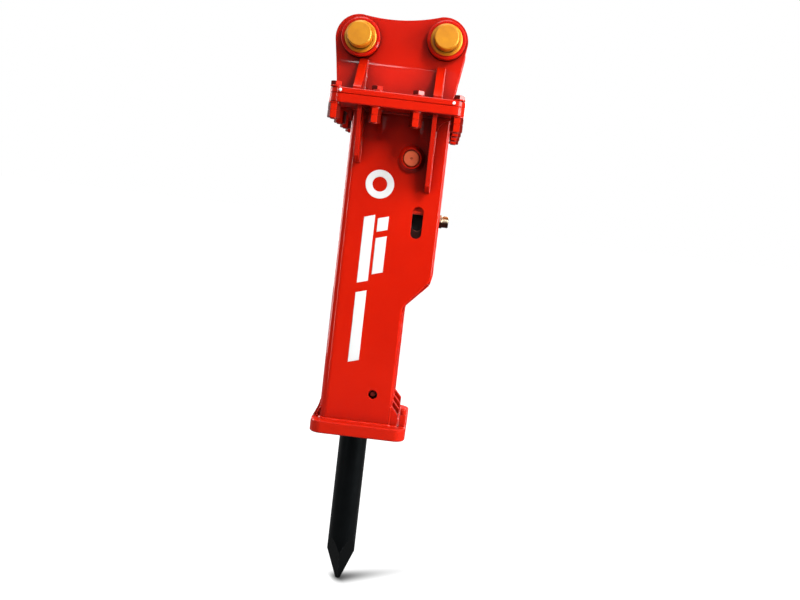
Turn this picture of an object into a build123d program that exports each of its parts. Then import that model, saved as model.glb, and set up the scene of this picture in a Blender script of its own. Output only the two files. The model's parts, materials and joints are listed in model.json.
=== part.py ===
from build123d import *
import os
from math import hypot, sqrt, tan, radians

# Hydraulic breaker hammer: a top-mounted percussion cell in a closed, welded box housing, with a
# bolted-on pin bracket. Millimetres. The origin is the middle of the stick pin. +Z runs up along
# the working axis, +X from the stick pin towards the link pin, and +Y to the rear.

# Working tool and its axis
tool_dia = 68.0
tool_x = 78.0                  # the working axis stands this far from the stick pin
tool_top_z = -684.0            # striking face, with the tool hanging on its retainer
tool_stroke = 60.0
tip_z = -1304.0
tip_half = 6.0                 # half diagonal of the flat left at the point
point_slope = 28.0 / 72.0      # growth of that half diagonal per millimetre of height

# Pin bracket
pin_dia = 55.0
running_gap = 0.05             # radial clearance of every running fit
link_x, link_z = 193.0, 15.0   # link pin, from the stick pin
pin_front, pin_rear = -160.0, 130.0
ear_gap, ear_thick = 160.0, 20.0
ear_outer = ear_gap / 2 + ear_thick
lobe_r, lobe_dx = 54.0, -5.0
dip_r = 382.0                  # hollow between the two lobes
ear_foot = (-41.0, 222.0)      # ends of the ear where it meets the base plate
bend_z, bend_inner_r, ear_flare = -54.0, 60.0, 12.0
boss_dia, boss_face = 88.0, 122.0
bush_dia, bush_face, bush_end = 72.0, 126.0, 78.0
seat_half = 76.0               # half the free length of a pin, between its seal grooves
ear_rib_x, ear_rib_thick, ear_rib_top_z = (12.0, 188.0), 18.0, -46.0
web_x, web_t, web_top_z = 96.0, 16.0, -70.0

# Bolted flange
flange_w, flange_d, flange_r = 300.0, 400.0, 28.0
flange_x = 102.0
base_t, box_flange_t = 13.0, 20.0
base_top_z = -125.0
seam_z = base_top_z - base_t
flange_bottom_z = seam_z - box_flange_t
bolt_dia, bolt_hole, bolt_af, bolt_head_h = 16.0, 17.0, 24.0, 9.0
nut_h, lock_nut_h, washer_dia, washer_t, thread_end = 14.8, 17.0, 28.0, 3.0, 2.0
bolt_pitch_x, bolt_reach_y = 90.0, 184.0
plug_dia, plug_deep, plug_out, plug_reach_x = 7.0, 6.0, 0.8, 124.0   # in the base plate's edges

# Box housing
wall = 10.0
box_left, box_right, box_waist = -3.5, 222.5, 163.0
box_half = 100.0               # half the depth, front to rear
bend_r, edge_r = 20.0, 4.0     # left bend and right edge
taper_top_z, taper_end_z = -532.0, -602.0
taper_radii = (34.0, 30.0)
box_bottom_z = -882.0
sole_t = 29.0                  # bottom plate
sole_z = box_bottom_z - sole_t
sole_left, sole_right, sole_half, sole_r = -20.0, 204.0, 125.0, 27.0
side_boss, boss_bore = (145.0, -257.0), 36.0
slot_at, slot_w, slot_len = (174.0, -401.5), 25.0, 74.0
liner_t, liner_step = 6.0, 18.0          # plate behind a slot, and how far its opening stops short
rib_x, rib_t = (22.0, 188.0), 10.0
rib_ends = (-280.0, -331.0)    # lower ends of the two housing ribs
rib_foot, rib_tip, rib_slant = 186.0, 45.0, 14.0

# Percussion cell
cell_half = 65.0
cell_bevel = 6.0
head_top_z, cylinder_top_z, front_top_z, front_bottom_z = -183.0, -324.0, -594.0, -869.0
nose_dia, nose_z = 108.0, -907.0
tie_at, tie_dia = 50.0, 20.0   # tie bolts at the corners of the cell
tie_end_z, tie_seat_z, tie_nut_h = -694.0, -209.0, 18.0
tie_pocket_half = 18.0
gas_dia, gas_top_z = 84.0, -206.0
gas_y = -25.0                  # charging valve, clear of the tie bolts
piston_rest_z = -623.5         # lower face of the piston at the end of its blow
guide_dia, collar_dia, rod_dia, waist_dia = 66.0, 80.0, 60.0, 74.0
seal_carrier_dia, seal_carrier_h, seal_dia, seal_h = 90.0, 40.0, 72.0, 8.0
bush_od = 88.0
upper_bush, lower_bush = (-794.0, -654.0), (-899.0, -830.0)
strike_dia, strike_z = 72.0, -656.0      # bore in which piston and tool meet
retainer_dia, retainer_x, retainer_z = 30.0, 118.0, -812.0
retainer_nose_dia, retainer_nose_y = 12.0, -94.0
punch_hole, plug_hole = 20.6, 40.6
buffer_zs, buffer_h, buffer_half = (-734.0, -304.0), 100.0, 40.0
valve_x0, valve_x1, valve_half = tool_x + cell_half, 203.0, 58.0
valve_top_z, valve_bottom_z = -324.0, -514.0
spool_x, spool_dia, spool_bore_deep = 168.0, 30.0, 170.0
valve_screw_in, valve_screw_sink = 14.0, 13.0
oil_dia, oil_zs = 10.0, (-389.0, -444.0, -499.0)
port_z, port_y, port_dia = -394.0, 35.0, 26.0
hose_thread_dia = 26.4

EDGE = 1.5                     # broken edge of the heavy plates
UP, REAR, RIGHT = (0, 0, 1), (0, 1, 0), (1, 0, 0)


def turn(points, origin, along, mode=Mode.ADD):
    """Revolve a profile of (radius, height) points; heights run from origin in the direction along."""
    axis = Vector(*along)
    across = Vector(0, 1, 0) if abs(axis.X) > 0.5 else Vector(1, 0, 0)
    with BuildSketch(Plane(origin=origin, x_dir=across, z_dir=across.cross(axis))) as profile:
        with BuildLine():
            Polyline(*points, close=True)
        make_face()
    revolve(profile.sketch, axis=Axis(origin, along), mode=mode)


def ring(outer, inner, low, high, origin, along, bevel=0.0, mode=Mode.ADD):
    """A plain ring between two heights, with its outer edges bevelled."""
    r, q = outer / 2, inner / 2
    rim = [(r, low), (r, high)]
    if bevel:
        rim = [(r - bevel, low), (r, low + bevel), (r, high - bevel), (r - bevel, high)]
    turn([(q, low), *rim, (q, high)], origin, along, mode)


def drill(dia, low, high, origin, along):
    """A round hole between two heights."""
    turn([(0, low), (dia / 2, low), (dia / 2, high), (0, high)], origin, along, Mode.SUBTRACT)


def hexagon(across_flats, low, height, turned=0):
    """A hexagon on +Z at the origin, with the usual 30 degree bevel on both ends."""
    with BuildSketch(Plane.XY.offset(low)) as flats:
        RegularPolygon(across_flats / 2, 6, major_radius=False, rotation=turned)
    extrude(flats.sketch, amount=height)
    flat_r = across_flats / 2
    corner_r = flat_r * 1.16
    bevel = (corner_r - flat_r) * tan(radians(30))
    turn([(0, low), (flat_r, low), (corner_r, low + bevel), (corner_r, low + height - bevel),
          (flat_r, low + height), (0, low + height)], (0, 0, 0), UP, Mode.INTERSECT)


def block(x, y, z, mode=Mode.ADD):
    """A plain block between pairs of limits."""
    with BuildSketch(Plane.XY.offset(z[0])) as base:
        with Locations(((x[0] + x[1]) / 2, (y[0] + y[1]) / 2)):
            Rectangle(x[1] - x[0], y[1] - y[0])
    extrude(base.sketch, amount=z[1] - z[0], mode=mode)


def soften(part, size=EDGE):
    """Bevel the outer edge of a plate's top and bottom faces."""
    faces = part.faces().filter_by(Axis.Z).sort_by(Axis.Z)
    chamfer(faces[0].outer_wire().edges() + faces[-1].outer_wire().edges(), size)


def flange_points():
    """Bolt centres: four along the front and rear edges, and two more down each side."""
    xs = [flange_x + bolt_pitch_x * (i - 1.5) for i in range(4)]
    ys = [bolt_reach_y * (2 * i / 3 - 1) for i in range(4)]
    return [(x, y) for x in xs for y in ys if x in (xs[0], xs[-1]) or y in (ys[0], ys[-1])]


def flange_plate(low, thick):
    """One plate of the bolted joint, with its bolt holes."""
    with BuildSketch(Plane.XY.offset(low)) as outline:
        with Locations((flange_x, 0)):
            RectangleRounded(flange_w, flange_d, flange_r)
        with Locations(*flange_points()):
            Circle(bolt_hole / 2, mode=Mode.SUBTRACT)
    extrude(outline.sketch, amount=thick)


def wedge_plate(points, x, thick):
    """A plate in the YZ plane, centred on x, from a list of (y, z) points."""
    with BuildSketch(Plane.YZ.offset(x - thick / 2)) as outline:
        with BuildLine():
            Polyline(*points, close=True)
        make_face()
    extrude(outline.sketch, amount=thick)


def mirrored(points, side):
    """The same (y, z) points on the rear side (1) or the front side (-1)."""
    return [(side * y, z) for y, z in points]


# ---------------------------------------------------------------- pin bracket
plug_z = seam_z + base_t / 2
plug_spots = [(flange_x + way * plug_reach_x, side) for way in (-1, 1) for side in (-1, 1)]

with BuildPart() as bracket_base_plate:
    flange_plate(seam_z, base_t)
    soften(bracket_base_plate)
    for x, side in plug_spots:
        drill(plug_dia, flange_d / 2 - plug_deep, flange_d / 2, (x, 0, plug_z), (0, side, 0))

with BuildPart() as edge_plugs:
    for x, side in plug_spots:
        reach, r = flange_d / 2, plug_dia / 2
        turn([(0, reach - plug_deep), (r, reach - plug_deep), (r, reach + plug_out - 0.5),
              (r - 0.5, reach + plug_out), (0, reach + plug_out)], (x, 0, plug_z), (0, side, 0))


def ear(side):
    """A bracket ear: two lobes with a hollow between them, bent outwards above the base plate."""
    inner, above = ear_gap / 2, 2 * lobe_r
    with BuildSketch(Plane.YZ.offset(ear_foot[0] - lobe_r)) as section:
        with BuildLine():
            Polyline(*mirrored([(inner, above), (ear_outer, above), (ear_outer, bend_z),
                                (ear_outer + ear_flare, base_top_z), (inner + ear_flare, base_top_z),
                                (inner, bend_z)], side), close=True)
        make_face()
        fillet([v for v in section.vertices() if abs(v.Y - bend_z) < 1], bend_inner_r)
    extrude(section.sketch, amount=ear_foot[1] - ear_foot[0] + 2 * lobe_r)
    left, right = (lobe_dx, 0), (link_x + lobe_dx, link_z)
    span = hypot(right[0] - left[0], right[1] - left[1])
    lift = sqrt((dip_r + lobe_r) ** 2 - (span / 2) ** 2) / span
    dip = ((left[0] + right[0]) / 2 - (right[1] - left[1]) * lift,
           (left[1] + right[1]) / 2 + (right[0] - left[0]) * lift)
    with BuildSketch(Plane.XZ) as outline:
        with BuildLine():
            for lobe in (left, right):
                CenterArc(lobe, lobe_r, 0, 360)
            Line((ear_foot[0], base_top_z), (ear_foot[1], base_top_z))
        make_hull()
        with Locations(dip):
            Circle(dip_r, mode=Mode.SUBTRACT)
    extrude(outline.sketch, amount=flange_d / 2, both=True, mode=Mode.INTERSECT)
    for x, z in ((0, 0), (link_x, link_z)):
        drill(bush_dia, -flange_d, flange_d, (x, 0, z), REAR)


with BuildPart() as front_ear:
    ear(-1)
with BuildPart() as rear_ear:
    ear(1)

with BuildPart() as ear_bosses:
    for x, z in ((0, 0), (link_x, link_z)):
        for side in (-1, 1):
            ring(boss_dia, bush_dia, ear_outer, boss_face, (x, 0, z), (0, side, 0), bevel=2.5)

with BuildPart() as pin_bushes:
    for x, z in ((0, 0), (link_x, link_z)):
        for side in (-1, 1):
            bore_r = pin_dia / 2 + running_gap
            turn([(bore_r, bush_end), (bush_dia / 2 - 1, bush_end), (bush_dia / 2, bush_end + 1),
                  (bush_dia / 2, bush_face - 2.5), (bush_dia / 2 - 2.5, bush_face),
                  (bore_r + 1, bush_face), (bore_r, bush_face - 1)], (x, 0, z), (0, side, 0))


def bracket_pin(x, z):
    """A plain pin with a bevelled front end, a seal groove at each ear and a tapped rear end."""
    r, groove, depth = pin_dia / 2, 2.0, 1.0
    turn([(0, pin_front), (r - 2.5, pin_front), (r, pin_front + 2.5), (r, -seat_half - groove),
          (r - depth, -seat_half - groove), (r - depth, -seat_half), (r, -seat_half),
          (r, seat_half), (r - depth, seat_half), (r - depth, seat_half + groove),
          (r, seat_half + groove), (r, pin_rear - 2), (r - 2, pin_rear), (0, pin_rear)], (x, 0, z), REAR)
    drill(12.4, pin_rear - 26, pin_rear, (x, 0, z), REAR)


with BuildPart() as stick_pin:
    bracket_pin(0, 0)
with BuildPart() as link_pin:
    bracket_pin(link_x, link_z)

with BuildPart() as ear_ribs:
    foot_y, foot_h, head_y = ear_outer + 90, 6, ear_outer + 12
    for x in ear_rib_x:
        for side in (-1, 1):
            wedge_plate(mirrored([(ear_outer, ear_rib_top_z), (ear_outer, bend_z),
                                  (ear_outer + ear_flare, base_top_z), (foot_y, base_top_z),
                                  (foot_y, base_top_z + foot_h), (head_y, ear_rib_top_z)], side),
                        x, ear_rib_thick)
    add([front_ear.part, rear_ear.part], mode=Mode.SUBTRACT)

with BuildPart() as cross_web:
    web_y = ear_gap / 2 + ear_flare * (bend_z - web_top_z) / (bend_z - base_top_z)
    wedge_plate([(-web_y, web_top_z), (-ear_gap / 2 - ear_flare, base_top_z),
                 (ear_gap / 2 + ear_flare, base_top_z), (web_y, web_top_z)], web_x, web_t)
    with BuildSketch(Plane.YZ.offset(web_x)):
        with Locations((0, web_top_z + 60)):
            Circle(80, mode=Mode.ADD)
    extrude(amount=web_t, both=True, mode=Mode.SUBTRACT)

# Keepers: a bar on each rear pin end, bolted to the pin and to a spacer on the ear
keeper_reach, keeper_t, keeper_w = 62.0, 8.0, 30.0
keepers = ((0, 0, 1), (link_x, link_z, -1))
with BuildPart() as keeper_spacers:
    for x, z, way in keepers:
        ring(28, 12, ear_outer, pin_rear, (x + way * keeper_reach, 0, z), REAR, bevel=1)
with BuildPart() as keeper_plates:
    for x, z, way in keepers:
        with BuildSketch(Plane.XZ.offset(-pin_rear - keeper_t)):
            with Locations((x + way * keeper_reach / 2, z)):
                SlotCenterToCenter(keeper_reach, keeper_w)
            with Locations((x, z), (x + way * keeper_reach, z)):
                Circle(6.5, mode=Mode.SUBTRACT)
        extrude(amount=keeper_t)
with BuildPart() as keeper_bolt:
    hexagon(19, 0, 8)
    turn([(0, -30), (5, -30), (6, -29), (6, 0), (0, 0)], (0, 0, 0), UP)
with BuildPart() as keeper_bolts:
    head_y = pin_rear + keeper_t
    for x, z, way in keepers:
        for bolt_x in (x, x + way * keeper_reach):
            with Locations(Plane(origin=(bolt_x, head_y, z), x_dir=RIGHT, z_dir=REAR).location):
                add(keeper_bolt.part)

# ---------------------------------------------------------------- flange fasteners
with BuildPart() as bolt:
    stack = base_t + box_flange_t + 2 * washer_t + nut_h + lock_nut_h + thread_end
    hexagon(bolt_af, 0, bolt_head_h, turned=30)
    turn([(0, -stack), (bolt_dia / 2 - 1.5, -stack), (bolt_dia / 2, 1.5 - stack), (bolt_dia / 2, 0), (0, 0)],
         (0, 0, 0), UP)
with BuildPart() as nut:
    hexagon(bolt_af, -nut_h, nut_h)
    drill(bolt_dia, -nut_h, 0, (0, 0, 0), UP)
with BuildPart() as lock_nut:
    hexagon(bolt_af, -lock_nut_h, lock_nut_h)
    drill(bolt_dia, -lock_nut_h, 0, (0, 0, 0), UP)


def at_bolts(z, piece):
    """Repeat a fastener at every bolt of the flange."""
    with Locations(*[(x, y, z) for x, y in flange_points()]):
        add(piece)


with BuildPart() as flange_bolts:
    at_bolts(base_top_z + washer_t, bolt.part)
with BuildPart() as flange_washers:
    for x, y in flange_points():
        ring(washer_dia, bolt_hole, base_top_z, base_top_z + washer_t, (x, y, 0), UP, bevel=0.5)
        ring(washer_dia, bolt_hole, flange_bottom_z - washer_t, flange_bottom_z, (x, y, 0), UP, bevel=0.5)
with BuildPart() as flange_nuts:
    at_bolts(flange_bottom_z - washer_t, nut.part)
with BuildPart() as flange_lock_nuts:
    at_bolts(flange_bottom_z - washer_t - nut_h, lock_nut.part)

# ---------------------------------------------------------------- box housing
with BuildPart() as box_flange:
    flange_plate(flange_bottom_z, box_flange_t)
    with BuildSketch(Plane.XY.offset(flange_bottom_z)):
        with Locations(((box_left + box_right) / 2, 0)):
            Rectangle(box_right - box_left - 2 * wall, 2 * (box_half - wall))
    extrude(amount=box_flange_t, mode=Mode.SUBTRACT)
    soften(box_flange)


def box_side(inset=0.0):
    """The housing seen from the front: its right edge steps in over a rounded taper."""
    run, drop = box_right - box_waist, taper_top_z - taper_end_z
    shift = inset * (hypot(run, drop) - drop) / run
    right, waist = box_right - inset, box_waist - inset
    with BuildSketch(Plane.XZ) as face:
        with BuildLine():
            FilletPolyline((right, flange_bottom_z), (right, taper_top_z - shift),
                           (waist, taper_end_z - shift), (waist, box_bottom_z),
                           radius=[taper_radii[0] - inset, taper_radii[1] + inset])
            Polyline((waist, box_bottom_z), (box_left, box_bottom_z), (box_left, flange_bottom_z),
                     (right, flange_bottom_z))
        make_face()
    return face.sketch


def shell(side):
    """Front or rear half of the housing: one plate bent round the left edge to the seam."""
    outer, inner = side * box_half, side * (box_half - wall)
    with BuildSketch(Plane.XY.offset(box_bottom_z)) as section:
        with BuildLine():
            FilletPolyline((box_right, outer), (box_left, outer), (box_left, 0), radius=bend_r)
            Line((box_left, 0), (box_left + wall, 0))
            FilletPolyline((box_left + wall, 0), (box_left + wall, inner), (box_right, inner),
                           radius=bend_r - wall)
            Line((box_right, inner), (box_right, outer))
        make_face()
    extrude(section.sketch, amount=flange_bottom_z - box_bottom_z)
    shape = extrude(box_side(), amount=box_half, both=True, mode=Mode.INTERSECT)
    corner = [e for e in shape.edges() if abs(e.center().Y - outer) < 0.01 and e.center().X > box_waist - 1
              and box_bottom_z + 1 < e.center().Z < flange_bottom_z - 1]
    fillet(corner, edge_r)
    with BuildSketch(Plane.XZ) as holes:
        with Locations(Location(slot_at + (0,), 90)):
            SlotOverall(slot_len, slot_w)
        with Locations(side_boss):
            Circle(boss_bore / 2)
        with Locations((retainer_x, retainer_z)):
            Circle(punch_hole / 2 if side < 0 else plug_hole / 2)
    extrude(holes.sketch, amount=-side * box_half, mode=Mode.SUBTRACT)


with BuildPart() as front_shell:
    shell(-1)
with BuildPart() as rear_shell:
    shell(1)

with BuildPart() as slot_liners:
    slot_x, slot_z = slot_at
    arc_z = slot_z - slot_len / 2 + liner_step + slot_w / 2
    top_z = slot_z + slot_len / 2 - liner_step
    for side in (-1, 1):
        near, far = sorted((side * (box_half - wall), side * (box_half - wall - liner_t)))
        block((slot_x - 22, slot_x + 22), (near, far), (slot_z - 50, slot_z + 50))
        block((slot_x - slot_w / 2, slot_x + slot_w / 2), (near, far), (arc_z, top_z), Mode.SUBTRACT)
        drill(slot_w, near, far, (slot_x, 0, arc_z), REAR)

with BuildPart() as side_closure:
    closure = box_side() - box_side(wall)
    extrude(closure, amount=box_half - wall, both=True)
    block((box_left - 1, (box_waist + box_left) / 2), (-box_half, box_half),
          (box_bottom_z - 1, flange_bottom_z + 1), Mode.SUBTRACT)
    for y in (-port_y, port_y):
        drill(40, box_waist, box_right + 1, (0, y, port_z), RIGHT)

with BuildPart() as housing_ribs:
    for x, end_z in zip(rib_x, rib_ends):
        for side in (-1, 1):
            wedge_plate(mirrored([(box_half, flange_bottom_z), (rib_foot, flange_bottom_z),
                                  (rib_foot, flange_bottom_z - 8), (box_half + rib_tip, end_z + rib_slant),
                                  (box_half, end_z)], side), x, rib_t)

with BuildPart() as flange_gussets:
    gusset_t, nose = 10.0, 4.0
    beside_rib = rib_x[1] + rib_t / 2
    corners_at = ((box_left, -1, box_half - 17, 27, 24), (beside_rib, 1, box_half + 12, 32, 28))
    for start_x, way, y, reach, drop in corners_at:
        low, far = flange_bottom_z - drop - nose, start_x + way * (reach + nose)
        for side in (-1, 1):
            with BuildSketch(Plane.XZ.offset(-side * y - gusset_t / 2)) as web:
                with BuildLine():
                    Polyline((start_x + way * nose, low), (start_x, low), (start_x, flange_bottom_z),
                             (far, flange_bottom_z), (far, flange_bottom_z - nose))
                    ThreePointArc((far, flange_bottom_z - nose),
                                  (far - way * reach * sqrt(0.5), low + drop * sqrt(0.5)),
                                  (start_x + way * nose, low))
                make_face()
            extrude(web.sketch, amount=gusset_t)

with BuildPart() as bottom_plate:
    with BuildSketch(Plane.XY.offset(sole_z)):
        with Locations(((sole_left + sole_right) / 2, 0)):
            RectangleRounded(sole_right - sole_left, 2 * sole_half, sole_r)
    extrude(amount=sole_t)
    soften(bottom_plate, 2)
    drill(nose_dia + 2, sole_z, box_bottom_z, (tool_x, 0, 0), UP)

with BuildPart() as bottom_gussets:
    foot_t, top_z = 16.0, box_bottom_z
    right_x, right_h, right_low = box_waist + 19, 48, 27
    left_x, left_h = sole_left + 3, 42
    for i in range(4):
        with BuildSketch(Plane.XZ.offset(-60 * (i - 1.5) - foot_t / 2)) as right_foot:
            with BuildLine():
                Polyline((box_waist, top_z), (box_waist, top_z + right_h), (right_x, top_z + right_low),
                         (right_x, top_z), close=True)
            make_face()
        extrude(right_foot.sketch, amount=foot_t)
        with BuildSketch(Plane.XZ.offset(-48 * (i - 1.5) - foot_t / 2)) as left_foot:
            with BuildLine():
                Polyline((box_left, top_z + left_h), (box_left, top_z), (left_x, top_z), (left_x, top_z + 4))
                ThreePointArc((left_x, top_z + 4), (box_left - 7, top_z + 19), (box_left, top_z + left_h))
            make_face()
        extrude(left_foot.sketch, amount=foot_t)

# Central lubrication point on the bottom plate: an upright block with a capped inlet
lube_x, lube_y, lube_w, lube_h = 194.0, -92.0, 14.0, 29.0
with BuildPart() as lube_block:
    with BuildSketch(Plane.XY.offset(box_bottom_z)):
        with Locations((lube_x, lube_y)):
            RectangleRounded(lube_w, lube_w, 2)
    extrude(amount=lube_h)
    chamfer(lube_block.faces().sort_by(Axis.Z)[-1].edges(), 1)
with BuildPart() as lube_cap:
    low = box_bottom_z + lube_h
    turn([(0, low), (6.5, low), (6.5, low + 11), (5.5, low + 14), (3, low + 15.5), (0, low + 16)],
         (lube_x, lube_y, 0), UP)

boss_x, boss_z = side_boss
with BuildPart() as side_boss_rings:
    for side in (-1, 1):
        turn([(19.5, box_half), (30, box_half), (30, box_half + 3), (26, box_half + 6), (25, box_half + 13),
              (23, box_half + 15), (21, box_half + 15), (19.5, box_half + 13.5)],
             (boss_x, 0, boss_z), (0, side, 0))
with BuildPart() as side_boss_plugs:
    for side in (-1, 1):
        turn([(0, box_half - wall), (16, box_half - wall), (boss_bore / 2, box_half - wall + 2),
              (boss_bore / 2, box_half + 12), (boss_bore / 2 - 1.5, box_half + 13.5), (3, box_half + 13.5),
              (2, box_half + 11), (0, box_half + 11)], (boss_x, 0, boss_z), (0, side, 0))

# ---------------------------------------------------------------- percussion cell
cell_x = (tool_x - cell_half, tool_x + cell_half)
cell_y = (-cell_half, cell_half)
corners = [(tool_x + sx * tie_at, sy * tie_at) for sx in (-1, 1) for sy in (-1, 1)]
AXIS = (tool_x, 0, 0)

with BuildPart() as upper_cushion:
    block((tool_x - 32, tool_x + 32), (-60, 60), (head_top_z, seam_z))
    block((tool_x - 60, tool_x + 60), (-32, 32), (head_top_z, seam_z))

with BuildPart() as back_head:
    block(cell_x, cell_y, (cylinder_top_z, head_top_z))
    chamfer(back_head.edges().filter_by(Axis.Z), cell_bevel)
    for x, y in corners:
        block((x - tie_pocket_half, x + tie_pocket_half), (y - tie_pocket_half, y + tie_pocket_half),
              (tie_seat_z, head_top_z + 1), Mode.SUBTRACT)
        drill(tie_dia + 1, cylinder_top_z, head_top_z, (x, y, 0), UP)
    drill(gas_dia, cylinder_top_z, gas_top_z, AXIS, UP)
    drill(14, tool_x, cell_x[1], (0, gas_y, boss_z), RIGHT)

with BuildPart() as gas_valve:
    turn([(2.5, -16), (7, -16), (7, 0), (12, 0), (12, 10), (8, 12), (8, 22), (2.5, 22)],
         (cell_x[1], gas_y, boss_z), RIGHT)
with BuildPart() as gas_valve_cap:
    turn([(0, 22), (9, 22), (9, 32), (7, 34), (0, 34)], (cell_x[1], gas_y, boss_z), RIGHT)

seal_seat_z = cylinder_top_z - seal_carrier_h
with BuildPart() as cylinder:
    block(cell_x, cell_y, (front_top_z, cylinder_top_z))
    chamfer(cylinder.edges().filter_by(Axis.Z), cell_bevel)
    for x, y in corners:
        drill(tie_dia + 1, front_top_z, cylinder_top_z, (x, y, 0), UP)
    drill(guide_dia + 2 * running_gap, front_top_z, front_top_z + 18, AXIS, UP)
    drill(collar_dia + 2 * running_gap, front_top_z + 18, seal_seat_z, AXIS, UP)
    drill(seal_carrier_dia, seal_seat_z, cylinder_top_z, AXIS, UP)
    for z in oil_zs:
        drill(oil_dia, tool_x, cell_x[1], (0, 0, z), RIGHT)

groove_zs = [seal_seat_z + 8, seal_seat_z + 24]
with BuildPart() as seal_retainer:
    bore_r = rod_dia / 2 + running_gap
    ring(seal_carrier_dia, 2 * bore_r, seal_seat_z, cylinder_top_z, AXIS, UP)
    for z in groove_zs:
        ring(seal_dia, 2 * bore_r - 2, z, z + seal_h, AXIS, UP, mode=Mode.SUBTRACT)
with BuildPart() as piston_seals:
    for z in groove_zs:
        ring(seal_dia, 2 * bore_r, z, z + seal_h, AXIS, UP)

with BuildPart() as front_head:
    block(cell_x, cell_y, (front_bottom_z, front_top_z))
    chamfer(front_head.edges().filter_by(Axis.Z), cell_bevel)
    ring(nose_dia, 40, nose_z, front_bottom_z, AXIS, UP)
    for x, y in corners:
        drill(tie_dia, tie_end_z - 4, front_top_z, (x, y, 0), UP)
    drill(strike_dia, strike_z, front_top_z, AXIS, UP)
    drill(bush_od, nose_z, upper_bush[1], AXIS, UP)
    drill(retainer_dia + 2 * running_gap, cell_y[0], cell_y[1], (retainer_x, 0, retainer_z), REAR)

with BuildPart() as tie_bolts:
    for x, y in corners:
        turn([(0, tie_end_z), (tie_dia / 2 - 2, tie_end_z), (tie_dia / 2, tie_end_z + 2),
              (tie_dia / 2, tie_seat_z + tie_nut_h + 2), (tie_dia / 2 - 2, tie_seat_z + tie_nut_h + 4),
              (0, tie_seat_z + tie_nut_h + 4)], (x, y, 0), UP)
with BuildPart() as tie_nut:
    hexagon(30, tie_seat_z, tie_nut_h)
    drill(tie_dia, tie_seat_z, tie_seat_z + tie_nut_h, (0, 0, 0), UP)
with BuildPart() as tie_nuts:
    with Locations(*[(x, y, 0) for x, y in corners]):
        add(tie_nut.part)

with BuildPart() as upper_tool_bush:
    ring(bush_od, tool_dia + 2 * running_gap, *upper_bush, AXIS, UP, bevel=1)
with BuildPart() as lower_tool_bush:
    ring(bush_od, tool_dia + 2 * running_gap, *lower_bush, AXIS, UP, bevel=1)
with BuildPart() as dust_seal:
    lip_r, seat_z = tool_dia / 2 + 0.3, lower_bush[0]
    turn([(lip_r, nose_z), (40, nose_z), (bush_od / 2, nose_z + 1), (bush_od / 2, seat_z), (36, seat_z),
          (36, seat_z - 4), (lip_r, seat_z - 5)], AXIS, UP)

with BuildPart() as lower_cushion:
    block((tool_x - 70, box_waist - wall - 1), (-75, 75), (box_bottom_z, front_bottom_z))
    drill(nose_dia + 1, box_bottom_z, front_bottom_z, AXIS, UP)

with BuildPart() as side_buffers:
    across = (-buffer_half, buffer_half)
    for z in buffer_zs:
        for side in (-1, 1):
            block((tool_x - buffer_half, tool_x + buffer_half),
                  sorted((side * cell_half, side * (box_half - wall))), (z, z + buffer_h))
        block((box_left + wall, cell_x[0]), across, (z, z + buffer_h))
    block((cell_x[1], box_waist - wall), across, (buffer_zs[0], buffer_zs[0] + buffer_h))

with BuildPart() as piston:
    r_low, r_collar, r_rod, r_waist = guide_dia / 2, collar_dia / 2, rod_dia / 2, waist_dia / 2
    z = piston_rest_z
    steps = [(r_low, 57.5), (r_collar, 97.5), (r_waist, 132.5), (r_collar, 172.5), (r_rod, 326.5)]
    profile = [(0, z), (r_low - 3, z), (r_low, z + 3)]
    for (r, top), (following, _) in zip(steps, steps[1:]):
        profile += [(r, z + top), (following, z + top)]
    turn([*profile, (r_rod, z + 326.5), (r_rod - 3, z + 329.5), (0, z + 329.5)], AXIS, UP)

valve_x, valve_y = (valve_x0, valve_x1), (-valve_half, valve_half)
valve_screw_at = [(sy * (valve_half - valve_screw_in), z) for sy in (-1, 1)
                  for z in (valve_bottom_z + valve_screw_in, valve_top_z - valve_screw_in)]
sink_x = valve_x1 - valve_screw_sink
with BuildPart() as valve_housing:
    block(valve_x, valve_y, (valve_bottom_z, valve_top_z))
    chamfer(valve_housing.edges(), 3)
    drill(spool_dia + 2 * running_gap, valve_top_z - spool_bore_deep, valve_top_z, (spool_x, 0, 0), UP)
    for y in (-port_y, port_y):
        drill(port_dia, valve_x1 - 18, valve_x1, (0, y, port_z), RIGHT)
    for y, z in valve_screw_at:
        drill(12, valve_x0, valve_x1, (0, y, z), RIGHT)
        drill(19, sink_x, valve_x1, (0, y, z), RIGHT)
with BuildPart() as valve_bolts:
    for y, z in valve_screw_at:
        turn([(0, valve_x0), (6, valve_x0), (6, sink_x), (9, sink_x), (9, valve_x1 - 2),
              (8, valve_x1 - 1), (5, valve_x1 - 1), (5, valve_x1 - 7), (0, valve_x1 - 7)], (0, y, z), RIGHT)
with BuildPart() as valve_cap:
    block((spool_x - 22, spool_x + 22), (-40, 40), (valve_top_z, valve_top_z + 15))
    chamfer(valve_cap.edges(), 2)
with BuildPart() as valve_spool:
    r, neck, low = spool_dia / 2, 10.0, valve_top_z - spool_bore_deep + 1
    turn([(0, low), (r - 1, low), (r, low + 1), (r, low + 30), (neck, low + 30), (neck, low + 50),
          (r, low + 50), (r, low + 80), (neck, low + 80), (neck, low + 105), (r, low + 105),
          (r, low + 149), (0, low + 149)], (spool_x, 0, 0), UP)


with BuildPart() as adapter_hex:
    hexagon(30, 0, 7)
    drill(hose_thread_dia - 1, 0, 7, (0, 0, 0), UP)


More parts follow.
